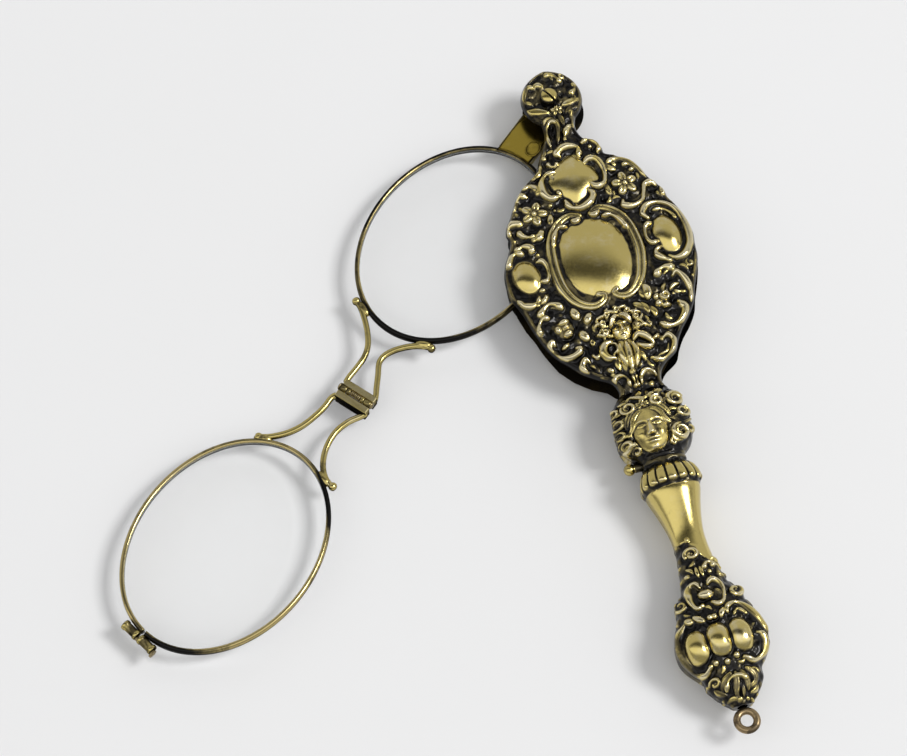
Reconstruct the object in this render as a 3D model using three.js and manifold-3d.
// Lorgnette: two folding lenses that swing out of an ornamental handle case.
// Millimetres, +Z up. The case lies on its back, front upwards, handle along Y with the pivot knob at +Y.
// The origin is on the flat of the back plate, under the middle of the shield.
import * as THREE from 'three';
import { mergeVertices } from 'three/addons/utils/BufferGeometryUtils.js';
import Module from 'manifold-3d';

const wasm = await Module();
wasm.setup();

// Lenses and rims
const lensLength = 37;
const lensHeight = 28;
const lensSag = 0.35;
const lensEdge = 0.9;
const pupilDistance = 63.6;
const rimWire = 0.9;
const rimDepth = 1.8;
const grooveWidth = 0.7;
const grooveDepth = 0.4;
const bevelBite = 0.25;

// Lens arm and pivot
const swingAtRest = 49.4;
const armReach = 28.8;
const armOffset = 1.0;
const armEyeRadius = 3.5;
const armWidth = 6;
const armThickness = 1.6;
const screwShank = 1.6;
const screwHead = 3.3;
const screwHeadRise = 1.1;
const screwSlotWidth = 0.45;
const screwSlotDepth = 0.5;
const bushWall = 0.5;
const washerDiameter = 5;
const nutDiameter = 3.6;
const nutThickness = 0.8;
const swingWire = 0.36;
const swingTurns = 3;

// Bridge hinge and its four scroll arms
const hingeLength = 6;
const hingeOffset = 2.1;
const hingePin = 0.8;
const knuckleWall = 0.3;
const leafReach = 0.8;
const leafThickness = 1.7;
const endKnuckle = 1.3;
const innerKnuckle = 0.75;
const bridgeWire = 0.2;
const bridgeTurns = 2;
const scrollWidth = 0.9;
const scrollThickness = 1.1;
const scrollBall = 0.7;
const scrollSeatAngle = 29;
const scrollWaist = 3;

// Closing barrels at the outer end of the far rim
const barrelDiameter = 1.7;
const barrelLength = 2.9;
const barrelGap = 0.5;
const barrelOffset = -1.8;
const closingScrew = 0.7;
const closingHeadDepth = 0.5;

// Case plates and liners
const sheet = 0.6;
const linerSheet = 0.3;
const linerInset = 0.8;
const plateCrown = 0.9;
const knobCrown = 0.8;
const knobRadius = 5.1;
const knobShift = 0.5;
const pivotDistance = 31;
const shieldWidth = 31.8;
const shieldBelow = 22.8;
const knobNeckWidth = 5.8;

// Bosses on the plates: the bare cartouche with its frame, an oval on each side, and the crest above
const bossRise = 0.9;
const cartoucheWidth = 11.6;
const cartoucheLength = 13.2;
const frameWidth = 2;
const frameChannel = 0.6;
const frameRise = 0.7;
const sideOvalWidth = 4.4;
const sideOvalLength = 6.6;
const sideOvalReach = 12;
const crestWidth = 7.6;
const crestLength = 8;
const crestDistance = 15.3;

// Handle halves, from the neck to the tip
const neckWidth = 7.2;
const neckDepth = 6.4;
const maskLength = 11.6;
const maskWidth = 12;
const maskDepth = 10.6;
const throatWidth = 7.2;
const throatDepth = 6.8;
const collarLength = 5;
const collarWidth = 10.8;
const collarDepth = 9.6;
const gripLength = 17.6;
const gripTopWidth = 9.4;
const gripWaistWidth = 5.4;
const gripWaistDepth = 5.2;
const shoulderWidth = 11;
const shoulderDepth = 7.2;
const bulbLength = 14;
const bulbWidth = 14.6;
const bulbDepth = 9.9;
const tipLength = 5.2;
const tipShoulderWidth = 9.3;
const tipEndWidth = 2.8;
const tipEndDepth = 2.6;
const ringOuter = 4.2;
const ringHole = 1.9;

// Release button, latch and spring
const buttonDiameter = 1.5;
const buttonProud = 2.8;
const buttonTravel = 1.5;
const latchWidth = 1.2;
const latchThickness = 1;
const latchHook = 1.1;
const latchReach = 2.4;
const catchWire = 0.34;
const catchDiameter = 2.1;
const catchTurns = 6;

// Clearances, and the sides of coiled wires and of turned pieces
const runningGap = 0.08;
const seatGap = 0.1;
const cutGap = 0.3;
const wireSides = 5;
const turnSides = 24;
const rimGap = 0.2;
const foldGap = 0.6;

// Levels: the back plate lies on z = 0 and everything stacks up from it
const slotHeight = 2 * rimDepth + 2 * rimGap + foldGap;
const midZ = bossRise + plateCrown + sheet + linerSheet + slotHeight / 2;
const cheekGap = slotHeight + 2 * linerSheet;
const lensZ = midZ - foldGap / 2 - rimDepth / 2;
const bridgeReach = armReach + pupilDistance / 2;
const knuckleRadius = hingePin / 2 + runningGap + knuckleWall;

const neckY = -shieldBelow - cutGap;
const throatY = neckY - maskLength;
const gripTopY = throatY - collarLength;
const shoulderY = gripTopY - gripLength;
const bulbEndY = shoulderY - bulbLength;
const tipY = bulbEndY - tipLength;

const gilt = { color: 0xb99a4a, roughness: 0.32, metalness: 1 };
const darkGilt = { color: 0x5b4f33, roughness: 0.45, metalness: 1 };
const steel = { color: 0x8d8a80, roughness: 0.35, metalness: 1 };
const glass = { color: 0xe8f0f0, roughness: 0.05, metalness: 0, transparent: true, opacity: 0.35 };

const lorgnette = new THREE.Group();
const caseGroup = new THREE.Group();
const nearGroup = new THREE.Group();
const farGroup = new THREE.Group();
lorgnette.add(caseGroup, nearGroup);
nearGroup.add(farGroup);

// The lens pair has its own axes: u from the pivot along the line of the lenses,
// v across it towards the handle.
nearGroup.position.set(0, pivotDistance, 0);
nearGroup.rotation.z = THREE.MathUtils.degToRad(270 - swingAtRest);
farGroup.position.set(bridgeReach, armOffset, midZ);

function place(group, name, geometry, look) {
  const mesh = new THREE.Mesh(geometry, new THREE.MeshStandardMaterial(look));
  mesh.name = name;
  group.add(mesh);
  return mesh;
}

function geometryFrom(points, faces) {
  const geometry = new THREE.BufferGeometry();
  geometry.setAttribute('position', new THREE.Float32BufferAttribute(points.flat(), 3));
  geometry.setIndex(faces.flat());
  return geometry;
}

// A grid of quads, each split in two; over(i, j) gives the index of a point.
function quads(rows, columns, over) {
  const faces = [];
  for (let i = 0; i < rows; i += 1) {
    for (let j = 0; j < columns; j += 1) {
      const [a, b, c, d] = [over(i, j), over(i, j + 1), over(i + 1, j + 1), over(i + 1, j)];
      faces.push([a, b, c], [a, c, d]);
    }
  }
  return faces;
}

// Sheet with an outer and an inner skin on the same grid, closed by a wall all round its border.
function sheetSolid(outer, inner) {
  const rows = outer.length - 1;
  const columns = outer[0].length - 1;
  const count = (rows + 1) * (columns + 1);
  const at = (i, j) => i * (columns + 1) + j;
  const faces = quads(rows, columns, at);
  faces.push(...quads(rows, columns, (i, j) => count + at(i, j)).map(([a, b, c]) => [a, c, b]));
  const border = [];
  for (let j = 0; j < columns; j += 1) border.push(at(0, j));
  for (let i = 0; i < rows; i += 1) border.push(at(i, columns));
  for (let j = columns; j > 0; j -= 1) border.push(at(rows, j));
  for (let i = rows; i > 0; i -= 1) border.push(at(i, 0));
  border.forEach((a, k) => {
    const b = border[(k + 1) % border.length];
    faces.push([a, count + a, count + b], [a, count + b, b]);
  });
  return geometryFrom([...outer.flat(), ...inner.flat()], faces);
}

// A section carried along stations: sections[i] is a closed loop of points. Closed stations make a ring,
// open ones get flat caps, which section2d (the loop in its own plane) triangulates.
function sweep(sections, section2d, closed) {
  const around = sections[0].length;
  const stations = sections.length;
  const at = (i, j) => (i % stations) * around + (j % around);
  const faces = quads(closed ? stations : stations - 1, around, at).map(([a, b, c]) => [a, c, b]);
  if (!closed) {
    const end = stations - 1;
    const cap = THREE.ShapeUtils.triangulateShape(section2d.map(([x, y]) => new THREE.Vector2(x, y)), []);
    cap.forEach(([a, b, c]) => faces.push([at(0, a), at(0, b), at(0, c)]));
    cap.forEach(([a, b, c]) => faces.push([at(end, c), at(end, b), at(end, a)]));
  }
  return geometryFrom(sections.flat(), faces);
}

function toManifold(geometry) {
  const bare = new THREE.BufferGeometry();
  bare.setAttribute('position', geometry.getAttribute('position'));
  bare.setIndex(geometry.getIndex());
  const merged = mergeVertices(bare, 1e-4);
  return new wasm.Manifold(new wasm.Mesh({
    numProp: 3,
    vertProperties: new Float32Array(merged.getAttribute('position').array),
    triVerts: new Uint32Array(merged.getIndex().array),
  }));
}

function fromManifold(solid) {
  const mesh = solid.getMesh();
  const geometry = new THREE.BufferGeometry();
  geometry.setAttribute('position', new THREE.BufferAttribute(mesh.vertProperties, 3));
  geometry.setIndex(new THREE.BufferAttribute(mesh.triVerts, 1));
  return geometry;
}

function join(...geometries) {
  return fromManifold(geometries.map(toManifold).reduce((sum, next) => sum.add(next)));
}

function cut(geometry, ...tools) {
  return fromManifold(tools.map(toManifold).reduce((rest, tool) => rest.subtract(tool), toManifold(geometry)));
}

// Turned piece on the Z axis: the profile lists [radius, z] from the bottom of the axis to its top.
function turned(profile, segments) {
  const points = profile.map(([r, z]) => new THREE.Vector2(r, z));
  return new THREE.LatheGeometry(points, segments).rotateX(Math.PI / 2);
}

// Turned tube on the Z axis between two levels.
function tube(outer, bore, low, high, segments) {
  return turned([[bore, low], [outer, low], [outer, high], [bore, high], [bore, low]], segments);
}

function rod(radius, low, high, segments) {
  return turned([[0, low], [radius, low], [radius, high], [0, high]], segments);
}

function box(uLow, uHigh, vLow, vHigh, zLow, zHigh) {
  const geometry = new THREE.BoxGeometry(uHigh - uLow, vHigh - vLow, zHigh - zLow);
  return geometry.translate((uLow + uHigh) / 2, (vLow + vHigh) / 2, (zLow + zHigh) / 2);
}

function plate(outline, low, thickness) {
  const shape = new THREE.Shape(outline.map(([x, y]) => new THREE.Vector2(x, y)));
  return new THREE.ExtrudeGeometry(shape, { depth: thickness, bevelEnabled: false }).translate(0, 0, low);
}

// Coil spring on the Z axis: one wire from low to high, with named turns, cut square at both ends.
function coil(radius, wire, turns, low, high) {
  const steps = 8 * turns;
  const section = Array.from({ length: wireSides }, (_, k) => {
    const angle = (2 * Math.PI * k) / wireSides;
    return [(wire / 2) * Math.cos(angle), (wire / 2) * Math.sin(angle)];
  });
  const sections = [];
  for (let i = 0; i <= steps; i += 1) {
    const turn = (2 * Math.PI * turns * i) / steps;
    const height = low + wire / 2 + ((high - low - wire) * i) / steps;
    sections.push(section.map(([r, z]) => [
      (radius + r) * Math.cos(turn), (radius + r) * Math.sin(turn), height + z,
    ]));
  }
  const pitch = (high - low - wire) / turns;
  console.log(`coil of ${turns} turns: least gap between turns ${(pitch - wire).toFixed(2)} mm`);
  return sweep(sections, section, false);
}

// Outline of the case plates

const half = shieldWidth / 2;
const knobNeckHalf = knobNeckWidth / 2;
const knobFoot = Math.asin(knobNeckHalf / knobRadius);
const knobTopAngle = THREE.MathUtils.degToRad(8);
const shieldTopY = pivotDistance - knobRadius * Math.cos(knobFoot);

// Shield half widths to the left and the right, as shares of half the shield's width, at shares of the way
// from the foot of the knob down to the neck.
const shieldOutline = [
  [0.05, 0.18, 0.19], [0.11, 0.27, 0.31], [0.19, 0.45, 0.55], [0.28, 0.70, 0.75], [0.36, 0.84, 0.87],
  [0.46, 0.91, 0.97], [0.55, 1.00, 0.99], [0.64, 0.97, 0.94], [0.74, 0.86, 0.81], [0.83, 0.76, 0.60],
  [0.91, 0.54, 0.40], [0.955, 0.31, 0.26],
];

function plateRows() {
  const rows = [];
  const knobSteps = 9;
  for (let i = 0; i <= knobSteps; i += 1) {
    const angle = knobTopAngle + ((Math.PI - knobFoot - knobTopAngle) * i) / knobSteps;
    const across = knobRadius * Math.sin(angle);
    const shift = knobShift * Math.sin((Math.PI * i) / knobSteps);
    rows.push([pivotDistance + knobRadius * Math.cos(angle), across - shift, across + shift]);
  }
  const length = shieldTopY + shieldBelow;
  const stations = [
    [shieldTopY, knobNeckHalf, knobNeckHalf],
    ...shieldOutline.map(([t, left, right]) => [shieldTopY - t * length, left * half, right * half]),
    [-shieldBelow, neckWidth / 2, neckWidth / 2],
  ];
  const curve = new THREE.CatmullRomCurve3(stations.map((s) => new THREE.Vector3(...s)), false, 'centripetal');
  const shieldSteps = 22;
  for (let i = 1; i <= shieldSteps; i += 1) {
    const point = curve.getPoint(i / shieldSteps);
    rows.push([point.x, point.y, point.z]);
  }
  return rows;
}

// Height of the plate over its edge: a flat crown that falls to the rim, lower where the plate is narrow.
function crownOf(y, width) {
  if (y > shieldTopY) return knobCrown;
  const blend = THREE.MathUtils.smoothstep(width, knobNeckHalf, 0.8 * half);
  return THREE.MathUtils.lerp(knobCrown, plateCrown, blend);
}

function domeShare(t) {
  const flat = 0.4;
  const out = Math.max(0, Math.abs(t) - flat) / (1 - flat);
  return 1 - out ** 2.5;
}

function casePlate(side) {
  const columns = 10;
  const edge = midZ + side * (cheekGap / 2);
  const skin = (thickness) => plateRows().map(([y, left, right]) => {
    const row = [];
    for (let j = 0; j <= columns; j += 1) {
      const t = -1 + (2 * j) / columns;
      const x = THREE.MathUtils.lerp(-left, right, j / columns);
      const rise = crownOf(y, (left + right) / 2) * domeShare(t);
      row.push([x, y, edge + side * (thickness + rise)]);
    }
    return side > 0 ? row.reverse() : row;
  });
  const drilled = cut(sheetSolid(skin(sheet), skin(0)), pivotDrill());
  return join(drilled, ...plateBosses(side));
}

// Level of a plate's outer face at a place of the shield, between the rows above and below it.
function plateLevel(side, x, y) {
  const rows = plateRows();
  const below = Math.max(1, rows.findIndex(([rowY]) => rowY < y));
  const [high, low] = [rows[below - 1], rows[below]];
  const share = (high[0] - y) / (high[0] - low[0]);
  const [left, right] = [1, 2].map((k) => THREE.MathUtils.lerp(high[k], low[k], share));
  const t = (2 * x + left - right) / (left + right);
  const rise = crownOf(y, (left + right) / 2) * domeShare(t);
  return midZ + side * (cheekGap / 2 + sheet + rise);
}

// Loops of a raised oval on a plate: each profile point is a distance outwards from the oval and a rise over
// the plate; a point below zero is sunk into the sheet.
function ovalLoops(side, [x0, y0], [width, length], profile) {
  const around = 28;
  return profile.map(([outwards, rise]) => Array.from({ length: around }, (_, k) => {
    const angle = (side * 2 * Math.PI * k) / around;
    const x = x0 + (width / 2 + outwards) * Math.cos(angle);
    const y = y0 + (length / 2 + outwards) * Math.sin(angle);
    return [x, y, plateLevel(side, x, y) + side * rise];
  }));
}

function boss(side, centre, size) {
  const loops = ovalLoops(side, centre, size, [
    [0, -sheet / 2], [-0.08 * size[0], 0.6 * bossRise], [-0.2 * size[0], bossRise],
  ]);
  const flat = loops[0].map(([x, y]) => [x, y]);
  return sweep(loops.reverse(), side > 0 ? flat : flat.map(([x, y]) => [x, -y]), false);
}

function bossFrame(side, centre, size) {
  const loops = ovalLoops(side, centre, size, [
    [frameChannel, -sheet / 2], [frameChannel + 0.25 * frameWidth, frameRise],
    [frameChannel + 0.75 * frameWidth, frameRise], [frameChannel + frameWidth, -sheet / 2],
  ]);
  const stations = loops[0].map((_, k) => loops.map((loop) => loop[k]));
  return sweep(stations.reverse(), [], true);
}

function plateBosses(side) {
  const cartouche = [[-0.05 * half, 0.05 * half], [cartoucheWidth, cartoucheLength]];
  const sideOval = [sideOvalWidth, sideOvalLength];
  return [
    boss(side, ...cartouche),
    bossFrame(side, ...cartouche),
    boss(side, [-sideOvalReach, 0], sideOval),
    boss(side, [sideOvalReach, 0.12 * half], sideOval),
    boss(side, [0, crestDistance], [crestWidth, crestLength]),
  ];
}

function pivotDrill() {
  const drill = rod(screwShank / 2 + cutGap, -midZ, 3 * midZ, turnSides);
  return drill.translate(0, pivotDistance, 0);
}

function liner(side) {
  const length = shieldTopY + shieldBelow;
  const rows = plateRows().filter(([y]) => y < shieldTopY - 0.1 * length && y > linerInset - shieldBelow);
  const right = rows.map(([y, , r]) => [r - linerInset, y]);
  const left = rows.map(([y, l]) => [linerInset - l, y]).reverse();
  const low = side > 0 ? midZ + slotHeight / 2 : midZ - slotHeight / 2 - linerSheet + seatGap;
  return plate([...right, ...left].reverse(), low, linerSheet - seatGap);
}

place(caseGroup, 'case_front_plate', casePlate(1), darkGilt);
place(caseGroup, 'case_back_plate', casePlate(-1), darkGilt);
place(caseGroup, 'front_liner', liner(1), gilt);
place(caseGroup, 'back_liner', liner(-1), gilt);

// Handle halves

const handleStations = [
  [neckY, neckWidth, neckDepth],
  [neckY - 0.14 * maskLength, 0.92 * maskWidth, 0.86 * maskDepth],
  [neckY - 0.5 * maskLength, maskWidth, maskDepth],
  [neckY - 0.74 * maskLength, 0.93 * maskWidth, 0.9 * maskDepth],
  [throatY, throatWidth, throatDepth],
  [throatY - 0.24 * collarLength, 1.08 * throatWidth, 1.08 * throatDepth],
  [throatY - 0.72 * collarLength, collarWidth, collarDepth],
  [gripTopY, gripTopWidth, 0.9 * collarDepth],
  [gripTopY - 0.17 * gripLength, 0.78 * gripTopWidth, 0.74 * collarDepth],
  [gripTopY - 0.44 * gripLength, gripWaistWidth, gripWaistDepth],
  [gripTopY - 0.7 * gripLength, 1.06 * gripWaistWidth, 1.04 * gripWaistDepth],
  [gripTopY - 0.93 * gripLength, 0.7 * shoulderWidth, 0.88 * shoulderDepth],
  [shoulderY - 0.1 * bulbLength, shoulderWidth, shoulderDepth],
  [shoulderY - 0.21 * bulbLength, shoulderWidth, 0.8 * bulbDepth],
  [shoulderY - 0.42 * bulbLength, 0.97 * bulbWidth, 0.97 * bulbDepth],
  [shoulderY - 0.58 * bulbLength, bulbWidth, bulbDepth],
  [shoulderY - 0.86 * bulbLength, 0.84 * bulbWidth, 0.82 * bulbDepth],
  [bulbEndY, tipShoulderWidth, 0.66 * bulbDepth],
  [bulbEndY - 0.3 * tipLength, 0.95 * tipShoulderWidth, 0.6 * bulbDepth],
  [tipY, tipEndWidth, tipEndDepth],
];
const buttonY = throatY;

function handleRows() {
  const points = handleStations.map(([y, width, depth]) => new THREE.Vector3(y, width / 2, depth / 2));
  return new THREE.CatmullRomCurve3(points, false, 'centripetal').getPoints(40);
}

function handleHalf(side) {
  const columns = 8;
  const skin = (inset) => handleRows().map(({ x: y, y: width, z: depth }) => {
    const row = [];
    for (let j = 0; j <= columns; j += 1) {
      const angle = (Math.PI * j) / columns;
      const rise = (Math.min(depth, midZ) - inset) * Math.sin(angle) ** 0.8;
      const lift = seatGap / 2 + rise * (1 - seatGap / midZ);
      row.push([-(width - inset) * Math.cos(angle), y, midZ + side * lift]);
    }
    return side > 0 ? row.reverse() : row;
  });
  const hole = rod(buttonDiameter / 2 + cutGap, 0, maskWidth, 16).rotateY(-Math.PI / 2);
  return cut(sheetSolid(skin(0), skin(sheet)), hole.translate(0, buttonY, midZ));
}

place(caseGroup, 'handle_front_half', handleHalf(1), gilt);
place(caseGroup, 'handle_back_half', handleHalf(-1), gilt);

const ringWire = (ringOuter - ringHole) / 2;
const ring = new THREE.TorusGeometry((ringOuter - ringWire) / 2, ringWire / 2, 8, 24);
place(caseGroup, 'hanging_ring', ring.translate(0, tipY - seatGap - ringOuter / 2, midZ), darkGilt);

// Pivot stack: screw, bush, washer, spring and nut on one axis

const pivotGroup = new THREE.Group();
pivotGroup.position.set(0, pivotDistance, 0);
caseGroup.add(pivotGroup);

const cheekLow = midZ - cheekGap / 2;
const cheekHigh = midZ + cheekGap / 2;
const headSeat = cheekHigh + sheet + knobCrown + seatGap;
const nutTop = cheekLow - sheet - knobCrown - seatGap;
const armLow = lensZ - armThickness / 2;
const armHigh = lensZ + armThickness / 2;
const bushBore = screwShank / 2 + runningGap;
const bushRadius = bushBore + bushWall;

const headRadius = screwHead / 2;
const screwEnd = nutTop - nutThickness + seatGap;
const screwBlank = turned([
  [0, screwEnd], [screwShank / 2, screwEnd],
  [screwShank / 2, headSeat], [headRadius, headSeat], [headRadius, headSeat + 0.35 * screwHeadRise],
  [0.72 * headRadius, headSeat + 0.8 * screwHeadRise], [0.36 * headRadius, headSeat + 0.96 * screwHeadRise],
  [0, headSeat + screwHeadRise],
], turnSides);
const slotTop = headSeat + screwHeadRise;
const slotBar = box(-screwHead, screwHead, -screwSlotWidth / 2, screwSlotWidth / 2,
  slotTop - screwSlotDepth, slotTop + screwSlotDepth).rotateZ(THREE.MathUtils.degToRad(-26));
place(pivotGroup, 'pivot_screw', cut(screwBlank, slotBar), gilt);
place(pivotGroup, 'pivot_bush',
  tube(bushRadius, bushBore, cheekLow + seatGap, cheekHigh - seatGap, turnSides), steel);
place(pivotGroup, 'pivot_washer',
  tube(washerDiameter / 2, bushRadius + runningGap, cheekLow + seatGap, armLow - runningGap, turnSides), gilt);
const springGap = seatGap + runningGap;
const swingRadius = bushRadius + runningGap + swingWire / 2;
place(pivotGroup, 'swing_spring',
  coil(swingRadius, swingWire, swingTurns, armHigh + springGap, cheekHigh - seatGap), steel);
place(pivotGroup, 'pivot_nut',
  tube(nutDiameter / 2, screwShank / 2 + runningGap, nutTop - nutThickness, nutTop, turnSides), gilt);

// Release button and its latch

const latchRight = (latchWidth - buttonTravel) / 2;
const latchLeft = latchRight - latchWidth;
const latchLow = midZ - latchThickness / 2;
const latchFoot = buttonY - buttonDiameter;
const latchTop = neckY + latchReach;
const buttonTip = throatWidth / 2 + buttonProud;
const buttonFoot = seatGap - latchLeft;
const buttonProfile = [
  [0, buttonFoot], [buttonDiameter / 2, buttonFoot],
  [buttonDiameter / 2, buttonTip - 0.5 * buttonDiameter],
  [0.4 * buttonDiameter, buttonTip - 0.16 * buttonDiameter],
  [0.2 * buttonDiameter, buttonTip - 0.03 * buttonDiameter], [0, buttonTip],
];
place(caseGroup, 'release_button',
  turned(buttonProfile, 16).rotateY(-Math.PI / 2).translate(0, buttonY, midZ), gilt);
place(caseGroup, 'catch_latch', plate([
  [latchLeft, latchFoot], [latchRight, latchFoot], [latchRight, latchTop],
  [latchLeft - latchHook, latchTop], [latchLeft, latchTop - latchHook],
], latchLow, latchThickness), steel);
const catchY = neckY - 0.5 * maskLength;
const catchEnd = maskWidth / 2 - sheet - seatGap;
const catchRadius = (catchDiameter - catchWire) / 2;
const catchCoil = coil(catchRadius, catchWire, catchTurns, latchRight + seatGap, catchEnd - cutGap);
place(caseGroup, 'catch_spring', catchCoil.rotateY(Math.PI / 2).translate(0, catchY, midZ), steel);

// Rims and lenses

const rimOuterV = lensHeight / 2 + rimWire;

// Outward direction of the oval at an angle, and the point there moved outwards by a distance,
// in axes centred on the lens.
function ovalNormal(angle) {
  return new THREE.Vector2(Math.cos(angle) / lensLength, Math.sin(angle) / lensHeight).normalize();
}

function ovalPoint(angle, outwards) {
  const normal = ovalNormal(angle);
  const u = (lensLength / 2) * Math.cos(angle) + outwards * normal.x;
  return [u, (lensHeight / 2) * Math.sin(angle) + outwards * normal.y];
}

// Rim: a channel wire bent round the oval, open by slit at the closing angle (0 leaves it whole).
function rim(closingAngle, slit) {
  const h = rimDepth / 2;
  const g = grooveWidth / 2;
  const section = [
    [0, -h], [0.65 * rimWire, -h], [rimWire, -0.6 * h], [rimWire, 0.6 * h], [0.65 * rimWire, h], [0, h],
    [0, g], [grooveDepth, 0], [0, -g],
  ];
  const stations = 52;
  const open = slit / rimOuterV;
  const sections = [];
  for (let i = 0; i < stations; i += 1) {
    const share = slit > 0 ? i / (stations - 1) : i / stations;
    const angle = closingAngle + open / 2 + (2 * Math.PI - open) * share;
    sections.push(section.map(([r, z]) => [...ovalPoint(angle, r), z]));
  }
  return sweep(sections, section, slit === 0);
}

// Lens: two shallow domes that meet in a bevel, which bites into the groove of the rim.
function lens() {
  const around = 40;
  const rings = [0, 0.4, 0.75, 1];
  const points = [];
  const skin = (side) => rings.forEach((share) => {
    for (let k = 0; k < around; k += 1) {
      const [u, v] = ovalPoint((2 * Math.PI * k) / around, -bevelBite);
      points.push([u * share, v * share, side * (lensEdge / 2 + lensSag * (1 - share * share))]);
    }
  });
  skin(1);
  for (let k = 0; k < around; k += 1) points.push([...ovalPoint((2 * Math.PI * k) / around, bevelBite), 0]);
  rings.reverse();
  skin(-1);
  const last = 2 * rings.length;
  const faces = quads(last, around, (i, j) => i * around + (j % around));
  return geometryFrom(points, faces.map(([a, b, c]) => [a, c, b]));
}

const nearRim = place(nearGroup, 'near_rim', rim(0, 0), darkGilt);
const nearLens = place(nearGroup, 'near_lens', lens(), glass);
nearRim.position.set(armReach, armOffset, lensZ);
nearLens.position.copy(nearRim.position);

const closingAngle = Math.asin(barrelOffset / (lensHeight / 2));
const farRim = place(farGroup, 'far_rim', rim(closingAngle, barrelGap), darkGilt);
const farLens = place(farGroup, 'far_lens', lens(), glass);
farRim.position.set(pupilDistance / 2, 0, lensZ - midZ);
farLens.position.copy(farRim.position);

// Lens arm: a flat plate with an eye on the bush and an end that follows the rim

function armOutline() {
  const points = [];
  const grip = Math.asin(Math.min(0.9, armWidth / 2 / armEyeRadius));
  for (let i = 0; i <= 16; i += 1) {
    const angle = grip + ((2 * Math.PI - 2 * grip) * i) / 16;
    points.push([armEyeRadius * Math.cos(angle), armEyeRadius * Math.sin(angle)]);
  }
  for (let i = 0; i <= 8; i += 1) {
    const v = armWidth * (i / 8 - 0.5) - armOffset;
    const [u] = ovalPoint(Math.PI - Math.asin(v / rimOuterV), rimWire + seatGap);
    points.push([armReach + u, v + armOffset]);
  }
  return points;
}

const armBlank = plate(armOutline(), armLow, armThickness);
const armEye = rod(bushRadius + runningGap, armLow - cutGap, armHigh + cutGap, turnSides);
place(nearGroup, 'lens_arm', cut(armBlank, armEye), gilt);

// Bridge hinge: leaves with knuckles on one pin, set off the line of the lenses towards the handle;
// s = -1 is the near side, s = +1 the far side

const hingeEnd = hingeLength / 2;
const hingePlace = farGroup.position.clone().setY(armOffset + hingeOffset);
const leafInner = knuckleRadius + seatGap;

function alongV(geometry) {
  return geometry.rotateX(-Math.PI / 2);
}

function hingeLeaf(s, knuckles) {
  const low = lensZ - midZ - leafThickness / 2;
  const high = low + leafThickness;
  const ends = (a, b) => [Math.min(s * a, s * b), Math.max(s * a, s * b)];
  const leaf = box(...ends(leafInner, leafInner + leafReach), -hingeEnd, hingeEnd, low, high);
  const parts = [leaf];
  knuckles.forEach(([a, b]) => {
    parts.push(alongV(rod(knuckleRadius, a, b, 20)));
    parts.push(box(...ends(0, leafInner + 0.5 * leafReach), a, b, low + 0.2 * leafThickness, 0.9 * high));
  });
  const bore = alongV(rod(hingePin / 2 + runningGap, -hingeLength, hingeLength, 20));
  return cut(join(...parts), bore);
}

const endInner = hingeEnd - endKnuckle;
const midOuter = endInner - seatGap;
const midInner = midOuter - innerKnuckle;
const nearLeaf = place(nearGroup, 'near_hinge_leaf',
  hingeLeaf(-1, [[-hingeEnd, -endInner], [endInner, hingeEnd]]), gilt);
nearLeaf.position.copy(hingePlace);
const farLeaf = place(farGroup, 'far_hinge_leaf',
  hingeLeaf(1, [[-midOuter, -midInner], [midInner, midOuter]]), gilt);
farLeaf.position.setY(hingeOffset);

const pinEnd = hingeEnd + seatGap;
const pin = place(nearGroup, 'hinge_pin', alongV(turned([
  [0, -pinEnd - 0.3 * hingePin], [0.7 * hingePin, -pinEnd - 0.2 * hingePin], [0.7 * hingePin, -pinEnd],
  [hingePin / 2, -pinEnd], [hingePin / 2, pinEnd], [0.7 * hingePin, pinEnd],
  [0.7 * hingePin, pinEnd + 0.2 * hingePin], [0, pinEnd + 0.3 * hingePin],
], 16)), steel);
pin.position.copy(hingePlace);
const bridgeCoil = coil(hingePin / 2 + runningGap + bridgeWire / 2, bridgeWire, bridgeTurns,
  seatGap - midInner, midInner - seatGap);
const bridgeSpring = place(nearGroup, 'bridge_spring', alongV(bridgeCoil), steel);
bridgeSpring.position.copy(hingePlace);

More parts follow.
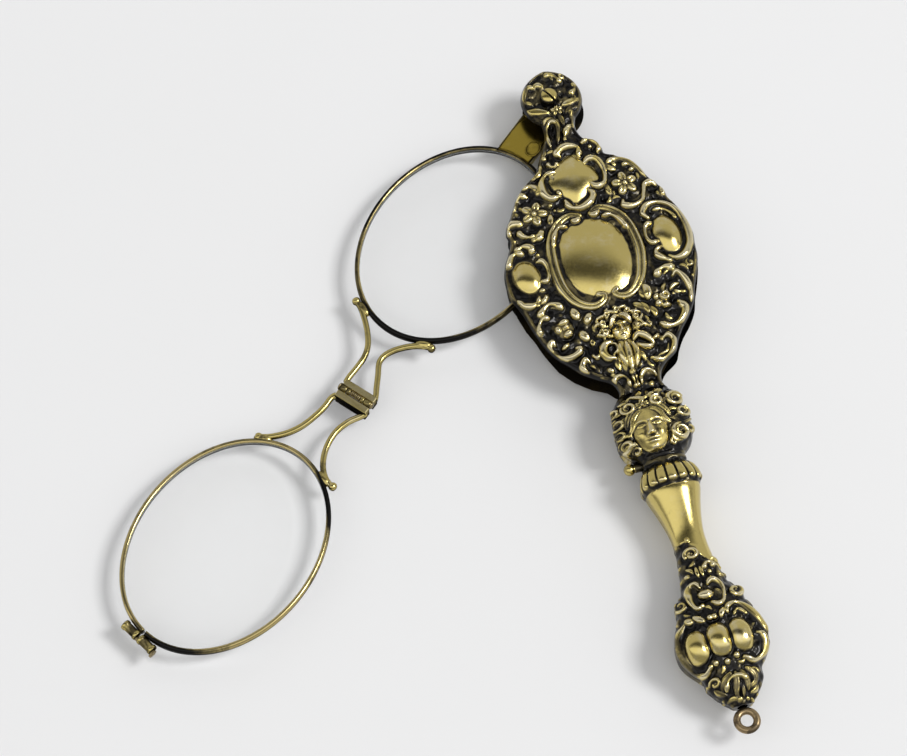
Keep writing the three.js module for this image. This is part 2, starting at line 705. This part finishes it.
// Scroll arm from the end of a leaf to a ball on the rim: s picks the rim, w the side of the lens line.
// The two arms of a rim draw together to a waist before they follow the rim.
function scrollArm(s, w) {
  const level = lensZ - midZ;
  const seat = THREE.MathUtils.degToRad(scrollSeatAngle);
  const [du, dv] = ovalPoint(seat, rimWire + seatGap + scrollBall);
  const ball = [pupilDistance / 2 - du, w * dv];
  const [rimU, rimV] = ovalPoint(seat * 0.62, rimWire + seatGap + scrollWidth);
  const start = [leafInner + leafReach + seatGap, hingeOffset + w * (hingeEnd - scrollWidth / 2)];
  const shoulder = [pupilDistance / 2 - rimU, w * rimV];
  const span = shoulder[0] - start[0];
  const waist = (hingeOffset / 4) + w * (scrollWaist / 2);
  const path = [
    start, [start[0] + 0.28 * span, 0.4 * start[1] + 0.6 * waist], [start[0] + 0.56 * span, waist],
    [shoulder[0] - 0.12 * span, 0.66 * shoulder[1]], [shoulder[0] + 0.01 * span, 0.98 * shoulder[1]], ball,
  ];
  const stops = path.map(([u, v]) => new THREE.Vector3(u, v, 0));
  const curve = new THREE.CatmullRomCurve3(stops, false, 'centripetal');
  const [a, b] = [scrollWidth / 2, scrollThickness / 2];
  const section = [[-a, -0.6 * b], [-0.6 * a, -b], [0.6 * a, -b], [a, -0.6 * b], [a, 0.6 * b], [0.6 * a, b],
    [-0.6 * a, b], [-a, 0.6 * b]];
  const sections = [];
  const steps = 12;
  for (let i = 0; i <= steps; i += 1) {
    const point = curve.getPoint(i / steps);
    const way = i === 0 ? new THREE.Vector3(1, 0, 0) : curve.getTangent(i / steps);
    sections.push(section.map(([n, z]) => [point.x + way.y * n, point.y - way.x * n, z]));
  }
  const wire = sweep(sections, section, false);
  const sphere = new THREE.SphereGeometry(scrollBall, 10, 8).translate(ball[0], ball[1], 0);
  const arm = join(wire, sphere);
  arm.translate(0, 0, level);
  return mirrored(arm, s);
}

// The geometry on the side s of the hinge, with its faces kept outwards.
function mirrored(geometry, s) {
  geometry.scale(s, 1, 1);
  if (s < 0) {
    const index = geometry.getIndex().array;
    for (let k = 0; k < index.length; k += 3) [index[k], index[k + 1]] = [index[k + 1], index[k]];
  }
  return geometry;
}

for (const [side, w] of [['upper', -1], ['lower', 1]]) {
  place(nearGroup, `near_arm_${side}`, scrollArm(-1, w), gilt).position.copy(farGroup.position);
  place(farGroup, `far_arm_${side}`, scrollArm(1, w), gilt);
}

// Closing barrels and their screw at the slit of the far rim

const closingGroup = new THREE.Group();
const [closingU, closingV] = ovalPoint(closingAngle, rimWire + seatGap + barrelDiameter / 2);
closingGroup.position.set(pupilDistance / 2 + closingU, closingV, lensZ - midZ);
closingGroup.rotation.z = ovalNormal(closingAngle).angle();
farGroup.add(closingGroup);
const barrelBore = closingScrew / 2 + runningGap;
for (const [side, w] of [['upper', -1], ['lower', 1]]) {
  const ends = [w * (barrelGap / 2), w * (barrelGap / 2 + barrelLength)];
  const barrel = tube(barrelDiameter / 2, barrelBore, Math.min(...ends), Math.max(...ends), 16);
  place(closingGroup, `far_barrel_${side}`, alongV(barrel), gilt);
}
const closingEnd = barrelGap / 2 + barrelLength;
place(closingGroup, 'far_rim_screw', alongV(turned([
  [0, -closingEnd], [closingScrew / 2, -closingEnd], [closingScrew / 2, closingEnd + seatGap],
  [0.42 * barrelDiameter, closingEnd + seatGap], [0.42 * barrelDiameter, closingEnd + 0.7 * closingHeadDepth],
  [0, closingEnd + closingHeadDepth],
], 14)), steel);

export default lorgnette;
